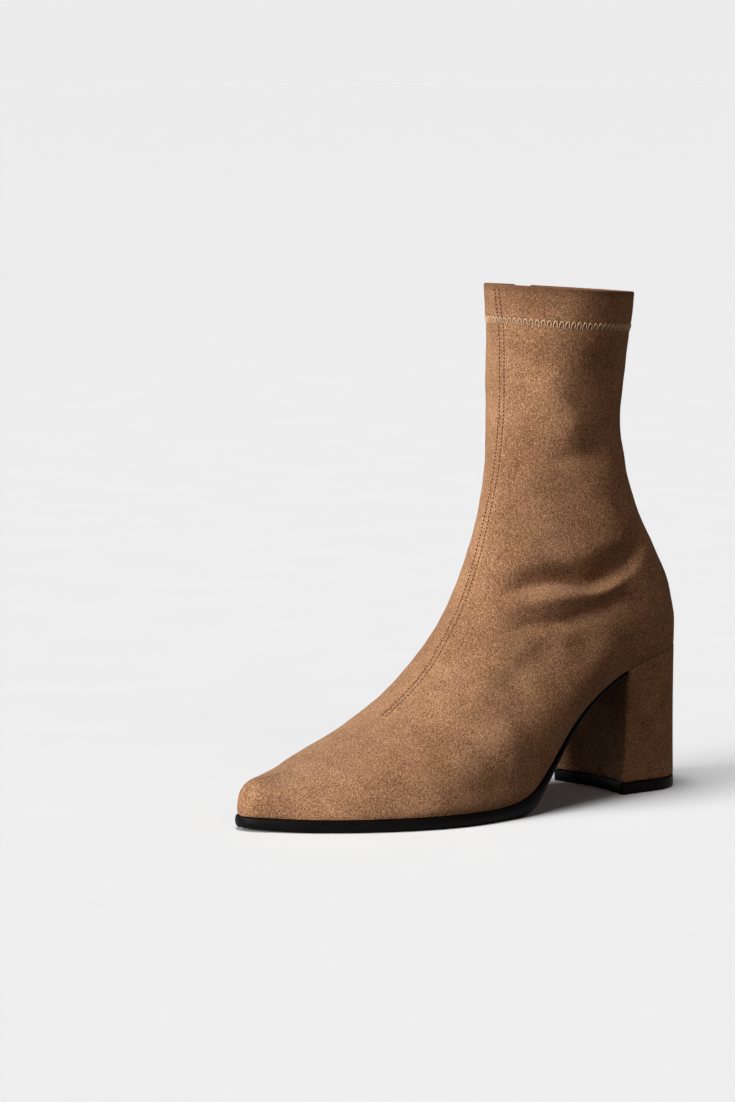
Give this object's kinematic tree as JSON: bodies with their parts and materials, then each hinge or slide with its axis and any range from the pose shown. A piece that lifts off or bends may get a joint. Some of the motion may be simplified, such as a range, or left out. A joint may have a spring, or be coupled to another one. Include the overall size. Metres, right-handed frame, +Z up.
{
  "type": "block heel ankle boot",
  "caption": "Left ankle boot in tan stretch suede with a pointed toe, a tall covered block heel, a slim black sole and an inner side zip with a swinging pull tab.",
  "frame": {"origin": "on the floor, under the middle of the boot's box", "axes": "+X to the toe, +Y to the outer side of the left foot, +Z up from the floor"},
  "size_m": [0.253, 0.0901, 0.2513],
  "materials": {
    "suede": "brushed tan suede with a short nap, matte",
    "black_rubber": "black, satin edge",
    "lining": "plain knitted lining, matte",
    "zip_tape": "dark brown woven tape",
    "zip_chain": "dull bronze teeth",
    "zip_metal": "polished silver metal"
  },
  "bodies": {
    "boot": {"upper": "suede", "heel_block": "suede", "outsole": "black_rubber", "heel_top_lift": "black_rubber", "insole": "lining", "zip_tape_front": "zip_tape", "zip_tape_back": "zip_tape", "zip_chain": "zip_chain", "zip_slider": "zip_metal"},
    "pull_tab": {"zip_pull_tab": "zip_metal"}
  },
  "joints": [
    {"name": "pull_tab_swing", "type": "hinge", "parent": "boot", "child": "pull_tab", "pos_m": [-0.0636, -0.04023, 0.23529], "axis": [-0.994, 0.0981, 0.0489], "range_deg": [0, 150]}
  ]
}
